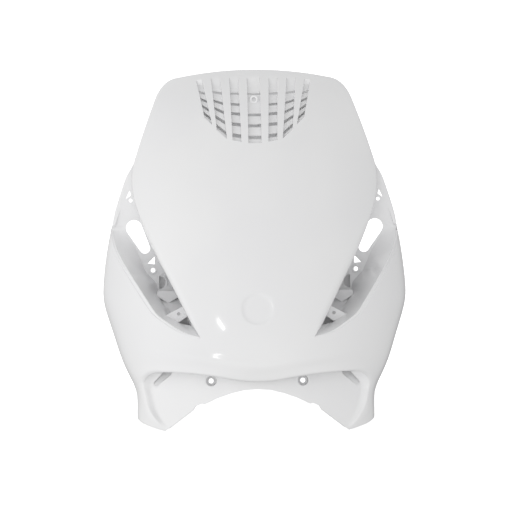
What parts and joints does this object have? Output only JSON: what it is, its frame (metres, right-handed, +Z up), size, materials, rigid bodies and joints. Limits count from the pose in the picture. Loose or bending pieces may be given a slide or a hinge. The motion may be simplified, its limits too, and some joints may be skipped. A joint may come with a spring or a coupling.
{
  "type": "scooter front panel",
  "caption": "Glossy moulded front panel for a small scooter: a curved shield face with recessed indicator pockets, a louvred grille and screw seats behind the chin.",
  "frame": {"origin": "midway between the lower screws, on the plane their heads seat on", "axes": "+X to the right as seen from the front, +Y back towards the rider, +Z up"},
  "size_m": [0.4236, 0.136, 0.503],
  "materials": {
    "panel": "glossy moulded white"
  },
  "bodies": {
    "root": {"front_panel": "panel"}
  },
  "joints": []
}
